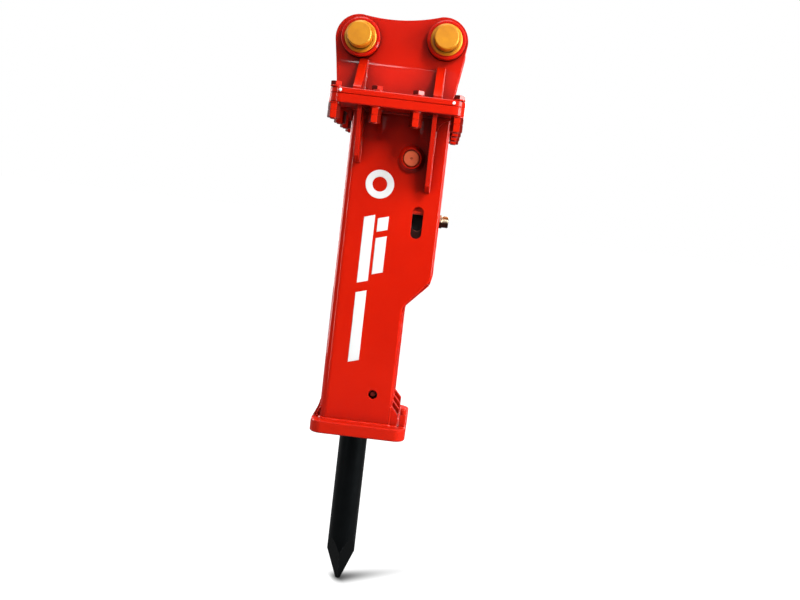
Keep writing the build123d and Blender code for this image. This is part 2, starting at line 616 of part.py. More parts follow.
def adapter(y):
    """A hose adapter: tapped into the valve housing, with a hexagon and a male hose thread outside."""
    collar_x, end_x, r, seat_r = box_right + 2, box_right + 24, hose_thread_dia / 2, port_dia / 2
    turn([(0, valve_x1 - 16), (seat_r, valve_x1 - 16), (seat_r, valve_x1), (15, valve_x1),
          (15, collar_x), (r, collar_x), (r, end_x - 1.5), (r - 1.5, end_x), (9, end_x),
          (7, end_x - 4), (7, valve_x1), (0, valve_x1)], (0, y, port_z), RIGHT)
    with Locations(Plane(origin=(collar_x, y, port_z), x_dir=REAR, z_dir=RIGHT).location):
        add(adapter_hex.part)


with BuildPart() as pressure_adapter:
    adapter(-port_y)
with BuildPart() as return_adapter:
    adapter(port_y)

with BuildPart() as retainer_pin:
    r, nose_r = retainer_dia / 2, retainer_nose_dia / 2
    turn([(0, retainer_nose_y), (nose_r - 1, retainer_nose_y), (nose_r, retainer_nose_y + 1),
          (nose_r, cell_y[0]), (r - 2, cell_y[0]), (r, cell_y[0] + 2), (r, cell_y[1] - 2),
          (r - 2, cell_y[1]), (0, cell_y[1])], (retainer_x, 0, retainer_z), REAR)
with BuildPart() as retainer_plug:
    r, inside, outside = plug_hole / 2 - 0.4, box_half - wall - 2, box_half + 0.4
    turn([(0, cell_half), (12, cell_half), (12, inside), (r, inside),
          (r, outside), (25, outside), (24, box_half + 4), (0, box_half + 5)],
         (retainer_x, 0, retainer_z), REAR)

with BuildPart() as tool:
    r = tool_dia / 2
    turn([(0, tip_z), (r, tip_z), (r, tool_top_z - 4), (r - 4, tool_top_z), (0, tool_top_z)], AXIS, UP)
    for z in (tip_z, tool_top_z):
        half = tip_half + point_slope * (z - tip_z)
        with BuildSketch(Plane.XY.offset(z)):
            with Locations((tool_x, 0)):
                Rectangle(half * sqrt(2), half * sqrt(2), rotation=45)
    loft(mode=Mode.INTERSECT)
    flat_x = retainer_x - retainer_dia / 2 - 0.3
    block((flat_x, tool_x + r + 1), (-r, r), (retainer_z - retainer_dia / 2 - tool_stroke - 3,
                                              retainer_z + retainer_dia / 2 + 0.5), Mode.SUBTRACT)

# ---------------------------------------------------------------- one file for each piece
PIECES = dict(
    bracket_base_plate=bracket_base_plate, edge_plugs=edge_plugs, front_ear=front_ear, rear_ear=rear_ear,
    ear_bosses=ear_bosses, pin_bushes=pin_bushes, stick_pin=stick_pin, link_pin=link_pin,
    ear_ribs=ear_ribs, cross_web=cross_web, keeper_spacers=keeper_spacers, keeper_plates=keeper_plates,
    keeper_bolts=keeper_bolts, flange_bolts=flange_bolts, flange_washers=flange_washers,
    flange_nuts=flange_nuts, flange_lock_nuts=flange_lock_nuts, box_flange=box_flange,
    front_shell=front_shell, rear_shell=rear_shell, slot_liners=slot_liners, side_closure=side_closure,
    housing_ribs=housing_ribs, flange_gussets=flange_gussets, bottom_plate=bottom_plate,
    bottom_gussets=bottom_gussets, lube_block=lube_block, lube_cap=lube_cap,
    side_boss_rings=side_boss_rings, side_boss_plugs=side_boss_plugs, upper_cushion=upper_cushion,
    lower_cushion=lower_cushion, side_buffers=side_buffers, back_head=back_head, gas_valve=gas_valve,
    gas_valve_cap=gas_valve_cap, cylinder=cylinder, seal_retainer=seal_retainer,
    piston_seals=piston_seals, front_head=front_head, tie_bolts=tie_bolts, tie_nuts=tie_nuts,
    upper_tool_bush=upper_tool_bush, lower_tool_bush=lower_tool_bush, dust_seal=dust_seal, piston=piston,
    valve_housing=valve_housing, valve_bolts=valve_bolts, valve_cap=valve_cap, valve_spool=valve_spool,
    pressure_adapter=pressure_adapter, return_adapter=return_adapter, retainer_pin=retainer_pin,
    retainer_plug=retainer_plug, tool=tool)

os.makedirs("parts", exist_ok=True)
for name, piece in PIECES.items():
    piece.part.label = name
    export_step(piece.part, f"parts/{name}.step")
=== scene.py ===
import json
import math

import bmesh
import bpy
from mathutils import Matrix, Vector


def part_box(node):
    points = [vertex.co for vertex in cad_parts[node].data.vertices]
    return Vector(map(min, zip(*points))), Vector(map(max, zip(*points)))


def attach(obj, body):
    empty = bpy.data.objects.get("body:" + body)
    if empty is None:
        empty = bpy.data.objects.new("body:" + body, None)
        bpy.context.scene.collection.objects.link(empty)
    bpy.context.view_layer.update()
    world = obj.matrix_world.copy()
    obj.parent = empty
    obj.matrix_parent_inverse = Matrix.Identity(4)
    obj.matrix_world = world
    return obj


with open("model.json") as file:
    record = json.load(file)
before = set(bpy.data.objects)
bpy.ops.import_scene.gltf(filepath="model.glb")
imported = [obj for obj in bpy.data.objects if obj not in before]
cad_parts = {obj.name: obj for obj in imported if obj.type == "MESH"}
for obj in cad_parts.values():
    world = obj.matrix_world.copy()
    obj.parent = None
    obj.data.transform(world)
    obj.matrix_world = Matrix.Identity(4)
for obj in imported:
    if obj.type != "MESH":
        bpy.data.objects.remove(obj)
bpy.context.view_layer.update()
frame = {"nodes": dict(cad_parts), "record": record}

MM = 0.001

# ------------------------------------------------------------------ places read from the frame
FLANGE_LOW, FLANGE_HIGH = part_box("box_flange")
BASE_LOW, BASE_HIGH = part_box("bracket_base_plate")
FRONT_LOW, FRONT_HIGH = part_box("front_shell")
REAR_LOW, REAR_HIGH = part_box("rear_shell")
SOLE_LOW, SOLE_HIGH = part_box("bottom_plate")
EAR_LOW, EAR_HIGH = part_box("front_ear")
EAR_RIB_LOW, EAR_RIB_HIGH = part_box("ear_ribs")
RIB_LOW, RIB_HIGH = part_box("housing_ribs")
TOOL_LOW, TOOL_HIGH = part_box("tool")


def middle(node):
    """Centre of a CAD node's box."""
    low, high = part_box(node)
    return (Vector(low) + Vector(high)) / 2


STICK, LINK = middle("stick_pin"), middle("link_pin")
TOOL_X = middle("piston").x
FLOOR_Z = TOOL_LOW[2]

# ------------------------------------------------------------------ shader building blocks


class Shader:
    """One material, with short calls for the nodes that feed its Principled shader."""

    def __init__(self, name):
        self.material = bpy.data.materials.new(name)
        self.material.use_nodes = True
        self.tree = self.material.node_tree
        self.bsdf = self.tree.nodes["Principled BSDF"]
        self.place = self.node("ShaderNodeTexCoord").outputs["Object"]

    def node(self, kind, inputs=(), **settings):
        made = self.tree.nodes.new(kind)
        for key, value in settings.items():
            setattr(made, key, value)
        for key, value in dict(inputs).items():
            self.feed(made.inputs[key], value)
        return made

    def feed(self, socket, value):
        if isinstance(value, bpy.types.NodeSocket):
            self.tree.links.new(value, socket)
        else:
            socket.default_value = value

    def set(self, **values):
        """Set or link the shader's own sockets; an underscore stands for a space."""
        for key, value in values.items():
            self.feed(self.bsdf.inputs[key.replace("_", " ")], value)
        return self

    def noise(self, scale, detail=2.0, roughness=0.5, stretch=(1, 1, 1)):
        place = self.place
        if stretch != (1, 1, 1):
            place = self.node("ShaderNodeMapping", {"Vector": place, "Scale": stretch}).outputs[0]
        return self.node("ShaderNodeTexNoise", {"Vector": place, "Scale": scale, "Detail": detail,
                                                "Roughness": roughness}).outputs["Fac"]

    def spread(self, value, low, high, to_low=0.0, to_high=1.0):
        """Map a range of a value onto another, clamped."""
        return self.node("ShaderNodeMapRange", {"Value": value, "From Min": low, "From Max": high,
                                                "To Min": to_low, "To Max": to_high}).outputs[0]

    def math(self, operation, a, b=0.0):
        return self.node("ShaderNodeMath", {0: a, 1: b}, operation=operation).outputs[0]

    def mix(self, factor, a, b, blend="MIX"):
        made = self.node("ShaderNodeMix", data_type="RGBA", blend_type=blend)
        for index, value in ((0, factor), (6, a), (7, b)):
            self.feed(made.inputs[index], value)
        return made.outputs[2]

    def crevice(self, distance):
        """1 on open surfaces, less in corners and under overhangs."""
        return self.node("ShaderNodeAmbientOcclusion", {"Distance": distance}, samples=8).outputs["AO"]

    def edge(self, radius):
        """1 along the part's edges, 0 on its faces."""
        soft = self.node("ShaderNodeBevel", {"Radius": radius}, samples=4).outputs[0]
        true = self.node("ShaderNodeNewGeometry").outputs["Normal"]
        same = self.node("ShaderNodeVectorMath", {0: soft, 1: true}, operation="DOT_PRODUCT").outputs["Value"]
        return self.spread(same, 0.995, 0.86)

    def surface(self, height, depth, strength=1.0, round_edges=0.0):
        """Link a bump, over edges rounded by a small radius."""
        bump = self.node("ShaderNodeBump", {"Height": height, "Distance": depth, "Strength": strength})
        if round_edges:
            soft = self.node("ShaderNodeBevel", {"Radius": round_edges}, samples=6)
            self.feed(bump.inputs["Normal"], soft.outputs[0])
        return self.set(Normal=bump.outputs[0])

    def rings(self, centres, pitch):
        """A wave in the distance from the nearest of some axes along Y, for turned end faces."""
        parts = self.node("ShaderNodeSeparateXYZ", {0: self.place}).outputs
        nearest = None
        for centre in centres:
            dx = self.math("SUBTRACT", parts[0], centre[0])
            dz = self.math("SUBTRACT", parts[2], centre[2])
            away = self.math("SQRT", self.math("ADD", self.math("MULTIPLY", dx, dx), self.math("MULTIPLY", dz, dz)))
            nearest = away if nearest is None else self.math("MINIMUM", nearest, away)
        return self.math("SINE", self.math("MULTIPLY", nearest, 2 * math.pi / pitch))


def paint(name, light, dark, corner=0.16, coat=0.55, shaded_facets=None):
    """Sprayed gloss enamel: orange peel, slow colour drift, and painted shade: darker in the corners and under
    overhangs, down to the corner factor, and on chosen faces by which way they point.
    """
    s = Shader(name)
    drift = s.spread(s.noise(5.0, 3.0), 0.35, 0.65)
    colour = s.mix(drift, light, dark)
    # painted shade: ambient occlusion darkens the colour in corners and under overhangs, down to the corner factor
    shade = s.spread(s.crevice(60 * MM), 0.25, 0.92, corner, 1.0)
    if shaded_facets:
        # painted shade on hex faces: left-facing ones, or both side-facing ones, darkened by their object-space normal
        across = s.node("ShaderNodeSeparateXYZ", {0: s.node("ShaderNodeTexCoord").outputs["Normal"]}).outputs[0]
        across = s.math("ABSOLUTE", across) if shaded_facets == "sides" else s.math("MULTIPLY", across, -1.0)
        shade = s.math("MULTIPLY", shade, s.spread(across, 0.25, 0.45, 1.0, 0.22))
    colour = s.mix(1.0, colour, s.node("ShaderNodeCombineColor", {0: shade, 1: shade, 2: shade}).outputs[0],
                   "MULTIPLY")
    dust = s.spread(s.noise(160.0, 4.0, 0.6), 0.52, 0.75, 0.0, 0.02)
    colour = s.mix(dust, colour, (0.70, 0.16, 0.09, 1))
    s.set(Base_Color=colour, Coat_Weight=coat, Coat_Roughness=0.06, Specular_IOR_Level=0.05,
          Roughness=s.spread(s.noise(60.0, 3.0), 0.3, 0.7, 0.36, 0.46))
    peel = s.math("ADD", s.noise(420.0, 1.0), s.math("MULTIPLY", s.noise(28.0, 2.0), 1.6))
    return s.surface(peel, 0.30 * MM, 0.20, 2.4 * MM).material


def plated(name, light, dark, rough, axes, ring_pitch):
    """Turned and plated steel: ring marks about the axes, cloudy passivation colours, and a painted shadow in the
    corners, darkest below and left of each pin's axis.
    """
    s = Shader(name)
    clouds = s.spread(s.noise(34.0, 4.0, 0.6), 0.34, 0.68)
    colour = s.mix(clouds, light, dark)
    parts = s.node("ShaderNodeSeparateXYZ", {0: s.place}).outputs
    # painted shadow: find the nearest pin axis, then darken the occluded places most on its lower left
    second = s.math("GREATER_THAN", parts[0], (STICK.x + LINK.x) / 2)
    dx = s.math("SUBTRACT", parts[0], s.math("MULTIPLY", second, LINK.x))
    dz = s.math("SUBTRACT", parts[2], s.math("MULTIPLY", second, LINK.z))
    below = s.math("ADD", s.math("MULTIPLY", dx, -0.50), s.math("MULTIPLY", dz, -0.87))
    corner = s.spread(s.crevice(16 * MM), 0.40, 0.86, 1.0, 0.0)
    shade = s.spread(s.math("MULTIPLY", corner, s.spread(below, -8 * MM, 18 * MM, 0.25, 1.0)), 0.0, 1.0, 1.0, 0.04)
    colour = s.mix(1.0, colour, s.node("ShaderNodeCombineColor", {0: shade, 1: shade, 2: shade}).outputs[0],
                   "MULTIPLY")
    rings = s.rings(axes, ring_pitch)
    s.set(Base_Color=colour, Metallic=0.35, Specular_IOR_Level=0.5,
          Roughness=s.spread(s.noise(90.0, 3.0), 0.3, 0.7, rough, rough + 0.12))
    height = s.math("ADD", s.math("MULTIPLY", rings, 0.35), s.noise(700.0, 2.0))
    return s.surface(height, 0.08 * MM, 0.30, 1.0 * MM).material


def polished(name, low, painted_highlight_band, high):
    """Bright plating on a fitting, with painted reflection set by which way each face points: dark facing down, a cream
    highlight band between, and a gold tint facing up; dark patches at random over it.
    """
    s = Shader(name)
    # painted reflection and highlight: the colour follows how far each face points up or down
    facing = s.node("ShaderNodeSeparateXYZ", {0: s.node("ShaderNodeTexCoord").outputs["Normal"]}).outputs[2]
    colour = s.mix(s.spread(facing, -0.15, 0.20), low, painted_highlight_band)
    colour = s.mix(s.spread(facing, 0.45, 0.75), colour, high)
    colour = s.mix(s.spread(s.noise(260.0, 3.0), 0.50, 0.72, 0.0, 0.55), colour, low)
    s.set(Base_Color=colour, Metallic=0.80, Roughness=s.spread(s.noise(90.0, 3.0), 0.3, 0.7, 0.12, 0.24))
    return s.surface(s.noise(600.0, 2.0), 0.08 * MM, 0.3, 0.8 * MM).material


def shaded_paint(name, top, bottom, high, low):
    """Thin primer on a hidden plate, with painted light and shade: bright red towards the top, shading to near black
    towards the bottom, and paler along its edges.
    """
    s = Shader(name)
    # painted light and shade: the colour runs from the bottom colour at the low height to the top colour at the high
    # one
    height = s.node("ShaderNodeSeparateXYZ", {0: s.place}).outputs[2]
    height = s.math("ADD", height, s.math("MULTIPLY", s.noise(90.0, 3.0), 0.002))
    colour = s.mix(s.spread(height, low, high), bottom, top)
    colour = s.mix(s.math("MULTIPLY", s.edge(1.6 * MM), 0.8), colour, (0.62, 0.20, 0.14, 1))
    s.set(Base_Color=colour, Specular_IOR_Level=0.2, Roughness=s.spread(s.noise(80.0, 3.0), 0.3, 0.7, 0.4, 0.6))
    return s.surface(s.noise(300.0, 3.0), 0.2 * MM, 0.3, 1.2 * MM).material


def blackened(name):
    """Heat-treated tool steel: near black, satin, with fine turning marks round the shank."""
    s = Shader(name)
    scale = s.spread(s.noise(24.0, 5.0, 0.6), 0.35, 0.70)
    colour = s.mix(scale, (0.0008, 0.0009, 0.0010, 1), (0.0018, 0.0020, 0.0023, 1))
    worn = s.math("MULTIPLY", s.edge(1.5 * MM), s.spread(s.noise(110.0, 3.0), 0.40, 0.60, 0.10, 0.60))
    colour = s.mix(worn, colour, (0.05, 0.054, 0.058, 1))
    s.set(Base_Color=colour, Specular_IOR_Level=0.16, Specular_Tint=(0.82, 0.96, 1.0, 1),
          Roughness=s.spread(s.noise(45.0, 4.0, 0.6), 0.3, 0.7, 0.30, 0.42))
    turning = s.noise(60.0, 2.0, 0.6, stretch=(0.6, 0.6, 22))
    height = s.math("ADD", turning, s.math("MULTIPLY", s.noise(260.0, 3.0), 0.6))
    return s.surface(height, 0.15 * MM, 0.30, 1.2 * MM).material


def machined(name, light, dark, rough, grain, primed_y=None):
    """Ground or milled steel with directional marks; what lies in front of primed_y is dark red primer."""
    s = Shader(name)
    colour = s.mix(s.spread(s.noise(30.0, 4.0), 0.35, 0.65), light, dark)
    colour = s.mix(s.math("MULTIPLY", s.edge(1.2 * MM), 0.6), colour, (0.75, 0.76, 0.78, 1))
    metal = 0.9
    if primed_y is not None:
        depth = s.node("ShaderNodeSeparateXYZ", {0: s.place}).outputs[1]
        primed = s.spread(depth, primed_y + 1 * MM, primed_y)
        colour = s.mix(primed, colour, (0.20, 0.012, 0.006, 1))
        metal = s.spread(primed, 0, 1, 0.9, 0.0)
    s.set(Base_Color=colour, Metallic=metal, Roughness=s.spread(s.noise(70.0, 3.0), 0.3, 0.7, rough, rough + 0.15))
    return s.surface(s.noise(80.0, 3.0, 0.6, stretch=grain), 0.15 * MM, 0.35, 0.8 * MM).material


def forged(name):
    """Rough forged steel with a phosphate finish."""
    s = Shader(name)
    colour = s.mix(s.spread(s.noise(40.0, 6.0, 0.65), 0.35, 0.65), (0.030, 0.029, 0.030, 1), (0.065, 0.062, 0.062, 1))
    s.set(Base_Color=colour, Metallic=0.6, Roughness=s.spread(s.noise(55.0, 4.0), 0.3, 0.7, 0.42, 0.6))
    return s.surface(s.noise(150.0, 5.0, 0.6), 0.5 * MM, 0.5, 1.2 * MM).material


def moulded(name, light, dark, rough, grain_scale):
    """Moulded rubber or polyurethane with a fine skin texture."""
    s = Shader(name)
    colour = s.mix(s.spread(s.noise(18.0, 3.0), 0.35, 0.65), light, dark)
    s.set(Base_Color=colour, Specular_IOR_Level=0.35,
          Roughness=s.spread(s.noise(80.0, 3.0), 0.3, 0.7, rough, rough + 0.15))
    return s.surface(s.noise(grain_scale, 3.0, 0.6), 0.2 * MM, 0.4, 0.8 * MM).material


# Each enamel paints shade into its corners down to its corner factor: the sole, pale plug, nut and marking copies take
# less of it, so the sole and its welds stay bright; the bolt-head copy also paints shade on left-facing faces and the
# nut copy on side-facing ones.
RED = paint("red_enamel", (0.640, 0.0105, 0.0008, 1), (0.575, 0.0085, 0.0007, 1))
OPEN_RED = paint("red_enamel_on_the_sole", (0.640, 0.0125, 0.0010, 1), (0.590, 0.0105, 0.0009, 1), corner=0.72)
PALE_RED = paint("pale_red_enamel", (0.86, 0.165, 0.070, 1), (0.80, 0.135, 0.055, 1), corner=0.60)
HEAD_RED = paint("red_enamel_on_bolt_heads", (0.66, 0.020, 0.008, 1), (0.58, 0.012, 0.004, 1), shaded_facets="left", coat=1.0)
NUT_RED = paint("red_enamel_on_nuts", (0.66, 0.0125, 0.0010, 1), (0.60, 0.0105, 0.0009, 1), corner=0.55, shaded_facets="sides")
# near-black red for the painted shadow rings round the pin bosses
BOSS_SHADOW = paint("dark_red_painted_boss_shadow", (0.060, 0.002, 0.001, 1), (0.030, 0.001, 0.001, 1), coat=0.1)
WHITE = paint("white_enamel", (0.88, 0.88, 0.87, 1), (0.85, 0.85, 0.84, 1), corner=0.85)
# painted highlight: the small white plugs at the ends of the flange's edge stand in for the glints where its corners
# start to round
GLINT_PLUG = moulded("white_plug_as_painted_glint", (0.95, 0.95, 0.95, 1), (0.90, 0.90, 0.90, 1), 0.30, 500.0)
ZINC = plated("yellow_zinc", (0.74, 0.30, 0.010, 1), (0.62, 0.22, 0.007, 1), 0.30, (STICK, LINK), 1.1 * MM)
# the fitting's dark, cream and gold colours are painted reflection and highlight
FITTING = polished("plated_fitting", (0.055, 0.018, 0.010, 1), (0.98, 0.88, 0.62, 1), (0.60, 0.24, 0.03, 1))
BLACK = blackened("blackened_tool_steel")
STEEL = machined("ground_steel", (0.62, 0.63, 0.65, 1), (0.48, 0.49, 0.51, 1), 0.20, (1, 1, 14))
RETAINER = machined("ground_retainer", (0.62, 0.63, 0.65, 1), (0.48, 0.49, 0.51, 1), 0.22, (1, 14, 1),
                    primed_y=-80 * MM)
FORGED = forged("forged_steel")
RUBBER = moulded("black_rubber", (0.020, 0.020, 0.021, 1), (0.034, 0.033, 0.032, 1), 0.55, 500.0)
CUSHION = moulded("amber_polyurethane", (0.78, 0.50, 0.12, 1), (0.68, 0.40, 0.08, 1), 0.35, 300.0)
# the slot liners: lit-looking red above, painted shade below
LINER = shaded_paint("slot_liner_painted_light_and_shade", (0.70, 0.020, 0.004, 1), (0.030, 0.006, 0.004, 1), -376 * MM, -386 * MM)

BY_SLOT = {"red_paint": RED, "pale_red_paint": PALE_RED, "yellow_zinc": ZINC, "plated_fitting": FITTING,
           "tool_steel": BLACK, "machined_steel": STEEL, "forged_steel": FORGED, "black_rubber": RUBBER,
           "polyurethane": CUSHION, "white_plastic": GLINT_PLUG}
BY_NODE = {"slot_liners": LINER, "retainer_pin": RETAINER, "bottom_plate": OPEN_RED, "flange_bolts": HEAD_RED,
           "flange_nuts": NUT_RED, "flange_lock_nuts": NUT_RED}

for part in frame["record"]["subparts"]:
    mesh = frame["nodes"][part["node"]].data
    mesh.materials.clear()
    mesh.materials.append(BY_NODE.get(part["node"], BY_SLOT[part["material_slot"]]))


def piece(name, bm, material, body="housing"):
    """Turn a bmesh into a named piece that rides on a body."""
    mesh = bpy.data.meshes.new(name)
    bmesh.ops.recalc_face_normals(bm, faces=bm.faces)
    bm.to_mesh(mesh)
    bm.free()
    mesh.materials.append(material)
    obj = bpy.data.objects.new(name, mesh)
    bpy.context.scene.collection.objects.link(obj)
    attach(obj, body)
    return obj


# ------------------------------------------------------------------ weld beads, and painted shadow rings round the pin bosses


def resample(path, step, closed):
    """Points at an even spacing along a path."""
    points = [Vector(p) for p in path] + ([Vector(path[0])] if closed else [])
    out, carry = [points[0]], 0.0
    for a, b in zip(points, points[1:]):
        length, at = (b - a).length, step - carry
        while at < length:
            out.append(a.lerp(b, at / length))
            at += step
        carry = length - (at - step)
    if not closed:
        out.append(points[-1])
    elif (out[-1] - out[0]).length < step * 0.5:
        out.pop()
    return out


def weld(bm, path, size=4.0, closed=False, ripple=5.0):
    """A bead of overlapping ripples along a path, sunk to its middle in the corner that it fills."""
    sides, rings = 8, 3
    points = resample(path, ripple * MM / rings, closed)
    count = len(points)
    loops = []
    for i, point in enumerate(points):
        before = points[i - 1] if (i or closed) else point
        after = points[(i + 1) % count] if (i < count - 1 or closed) else point
        along = (after - before).normalized()
        across = along.orthogonal() if abs(along.z) > 0.9 else along.cross((0, 0, 1)).normalized()
        across = across.normalized()
        up = across.cross(along)
        phase = (i % rings) / rings
        wobble = 1 + 0.05 * math.sin(i * 0.37) + 0.03 * math.sin(i * 0.11 + 2)
        radius = size * MM * (1 - 0.13 * phase) * wobble
        if not closed and i in (0, count - 1):
            radius *= 0.45
        loops.append([bm.verts.new(point + radius * (across * math.cos(2 * math.pi * k / sides)
                                                     + up * math.sin(2 * math.pi * k / sides)))
                      for k in range(sides)])
    pairs = list(zip(loops, loops[1:])) + ([(loops[-1], loops[0])] if closed else [])
    for a, b in pairs:
        for k in range(sides):
            face = bm.faces.new((a[k], a[(k + 1) % sides], b[(k + 1) % sides], b[k]))
            face.smooth = True
    if not closed:
        bm.faces.new(loops[0][::-1])
        bm.faces.new(loops[-1])


def circle(centre, radius, normal="Y", steps=48):
    """Points round a circle about an axis through its centre."""
    turns = [2 * math.pi * i / steps for i in range(steps)]
    if normal == "Y":
        return [(centre[0] + radius * math.cos(t), centre[1], centre[2] + radius * math.sin(t)) for t in turns]
    return [(centre[0] + radius * math.cos(t), centre[1] + radius * math.sin(t), centre[2]) for t in turns]


EAR_FACE, EAR_FOOT_OUT, EAR_FOOT_IN = 100 * MM, 112 * MM, 92 * MM
EAR_FOOT_X, EAR_BEND_Z = (-41 * MM, 222 * MM), -54 * MM
EAR_RIB_XS = (EAR_RIB_LOW[0] + 9 * MM, EAR_RIB_HIGH[0] - 9 * MM)
RIB_XS, RIB_ENDS = (RIB_LOW[0] + 5 * MM, RIB_HIGH[0] - 5 * MM), (-280 * MM, -331 * MM)
BASE_Z, UNDER_Z, SOLE_Z = BASE_HIGH[2], FLANGE_LOW[2], SOLE_HIGH[2]
LEFT_X, RIGHT_X = FRONT_LOW[0], FRONT_HIGH[0]
WAIST_X, TAPER_TOP_Z, TAPER_END_Z = 163 * MM, -532 * MM, -602 * MM
BOX_Y = -FRONT_LOW[1]


def bracket_welds():
    bm = bmesh.new()
    for side in (-1, 1):
        for y in (EAR_FOOT_OUT, EAR_FOOT_IN):
            weld(bm, [(EAR_FOOT_X[0], side * y, BASE_Z), (EAR_FOOT_X[1], side * y, BASE_Z)], 3.5)
        for x in EAR_RIB_XS:
            for edge in (-9 * MM, 9 * MM):
                weld(bm, [(x + edge, side * EAR_FOOT_OUT, BASE_Z), (x + edge, side * 189 * MM, BASE_Z)], 2.8)
                weld(bm, [(x + edge, side * EAR_FOOT_OUT, BASE_Z), (x + edge, side * EAR_FACE, EAR_BEND_Z),
                          (x + edge, side * EAR_FACE, EAR_RIB_HIGH[2])], 2.2)
    return piece("bracket_welds", bm, RED)


def box_outline(z, inset=0.0, right=None):
    """Corner points of the housing's section at a height."""
    r, right = 20 * MM, (RIGHT_X if right is None else right)
    corner = [(LEFT_X + r - r * math.sin(t), BOX_Y - r + r * math.cos(t))
              for t in (math.pi / 2 * i / 6 for i in range(7))]
    half = [(right, BOX_Y)] + corner
    ring = half + [(x, -y) for x, y in reversed(half)]
    return [(x, y, z) for x, y in ring]


def painted_boss_shadows():
    """A thin near-black ring round each pin boss on the ears: a painted shadow where the boss ring stands off the ear.
    """
    bm = bmesh.new()
    for side in (-1, 1):
        for pin in (STICK, LINK):
            weld(bm, circle((pin.x, side * EAR_FACE, pin.z), 44.1 * MM), 1.0, closed=True)
    return piece("painted_boss_shadows", bm, BOSS_SHADOW)


def housing_welds():
    bm = bmesh.new()
    weld(bm, box_outline(UNDER_Z), 4.5, closed=True)
    weld(bm, [(LEFT_X, 0, UNDER_Z), (LEFT_X, 0, SOLE_Z)], 2.6)
    for side in (-1, 1):
        y = side * (BOX_Y - 10 * MM)
        weld(bm, [(RIGHT_X, y, UNDER_Z), (RIGHT_X, y, TAPER_TOP_Z + 14 * MM), (RIGHT_X - 5 * MM, y, TAPER_TOP_Z - 10 * MM),
                  (WAIST_X + 6 * MM, y, TAPER_END_Z + 8 * MM), (WAIST_X, y, TAPER_END_Z - 12 * MM),
                  (WAIST_X, y, SOLE_Z)], 2.6)
        for x, end in zip(RIB_XS, RIB_ENDS):
            for edge in (-5 * MM, 5 * MM):
                weld(bm, [(x + edge, side * BOX_Y, UNDER_Z), (x + edge, side * BOX_Y, end)], 2.2)
                weld(bm, [(x + edge, side * BOX_Y, UNDER_Z), (x + edge, side * 184 * MM, UNDER_Z)], 2.2)
        boss = middle("side_boss_rings")
        weld(bm, circle((boss.x, side * BOX_Y, boss.z), 30 * MM), 1.2, closed=True)
    return piece("housing_welds", bm, RED)


def sole_welds():
    bm = bmesh.new()
    weld(bm, box_outline(SOLE_Z, right=WAIST_X), 4.0, closed=True, ripple=6.0)
    for i in range(4):
        right_y, left_y = 60 * MM * (i - 1.5), 48 * MM * (i - 1.5)
        for edge in (-8 * MM, 8 * MM):
            weld(bm, [(WAIST_X, right_y + edge, SOLE_Z + 46 * MM), (WAIST_X, right_y + edge, SOLE_Z),
                      (WAIST_X + 19 * MM, right_y + edge, SOLE_Z)], 2.4)
            weld(bm, [(LEFT_X, left_y + edge, SOLE_Z + 40 * MM), (LEFT_X, left_y + edge, SOLE_Z),
                      (LEFT_X - 13 * MM, left_y + edge, SOLE_Z)], 2.2)
        weld(bm, [(WAIST_X + 19 * MM, right_y - 8 * MM, SOLE_Z), (WAIST_X + 19 * MM, right_y + 8 * MM, SOLE_Z)], 2.4)
    for side in (-1, 1):
        weld(bm, [(2 * MM, side * 91 * MM, -851 * MM), (-3 * MM, side * 90 * MM, -862 * MM),
                  (-7 * MM, side * 87 * MM, -871 * MM), (-9 * MM, side * 84 * MM, SOLE_Z)], 2.0)
    low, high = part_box("lube_block")
    weld(bm, [(low[0], low[1], SOLE_Z), (high[0], low[1], SOLE_Z), (high[0], high[1], SOLE_Z),
              (low[0], high[1], SOLE_Z)], 2.2, closed=True)
    return piece("sole_welds", bm, OPEN_RED)


bracket_welds()
housing_welds()
sole_welds()
painted_boss_shadows()

# ------------------------------------------------------------------ plain white markings


def marking(bm, outline, y, side):
    """A flat marking from an outline of (x, z) points, standing just clear of a side face."""
    thick = 0.25 * MM
    rows = [[bm.verts.new((x, y + side * t, z)) for x, z in outline] for t in (-thick, thick)]
    count = len(outline)
    for k in range(count):
        bm.faces.new((rows[0][k], rows[0][(k + 1) % count], rows[1][(k + 1) % count], rows[1][k]))
    bm.faces.new(rows[0][::-1])
    bm.faces.new(rows[1])


def slanted(x, top, bottom, width):
    """A plain upright block with slanted ends."""
    half, slant = width / 2, width * 0.30
    return [(x - half, top - slant), (x + half, top), (x + half, bottom + slant), (x - half, bottom)]


def ring_marking(bm, centre, outer, inner, y, side, steps=64):
    """A plain flat ring."""
    thick = 0.25 * MM
    loops = []
    for t, radius in ((-thick, outer), (thick, outer), (thick, inner), (-thick, inner)):
        loops.append([bm.verts.new((centre[0] + radius * math.cos(2 * math.pi * k / steps), y + side * t,
                                    centre[1] + radius * math.sin(2 * math.pi * k / steps)))
                      for k in range(steps)])
    for a, b in zip(loops, loops[1:] + loops[:1]):
        for k in range(steps):
            bm.faces.new((a[k], a[(k + 1) % steps], b[(k + 1) % steps], b[k]))


MARKS = ((TOOL_X + 18 * MM, -394 * MM, -433 * MM), (TOOL_X + 18 * MM, -440 * MM, -532 * MM),
         (TOOL_X - 14 * MM, -394 * MM, -555 * MM), (TOOL_X - 14 * MM, -570 * MM, -742 * MM))


def markings():
    bm = bmesh.new()
    for side in (-1, 1):
        y = side * BOX_Y
        ring_marking(bm, (TOOL_X + 1 * MM, -323 * MM), 33 * MM, 17 * MM, y, side)
        for x, top, bottom in MARKS:
            marking(bm, slanted(x, top, bottom, 25 * MM), y, side)
    return piece("plain_markings", bm, WHITE)


markings()

# ------------------------------------------------------------------ floor, light and camera


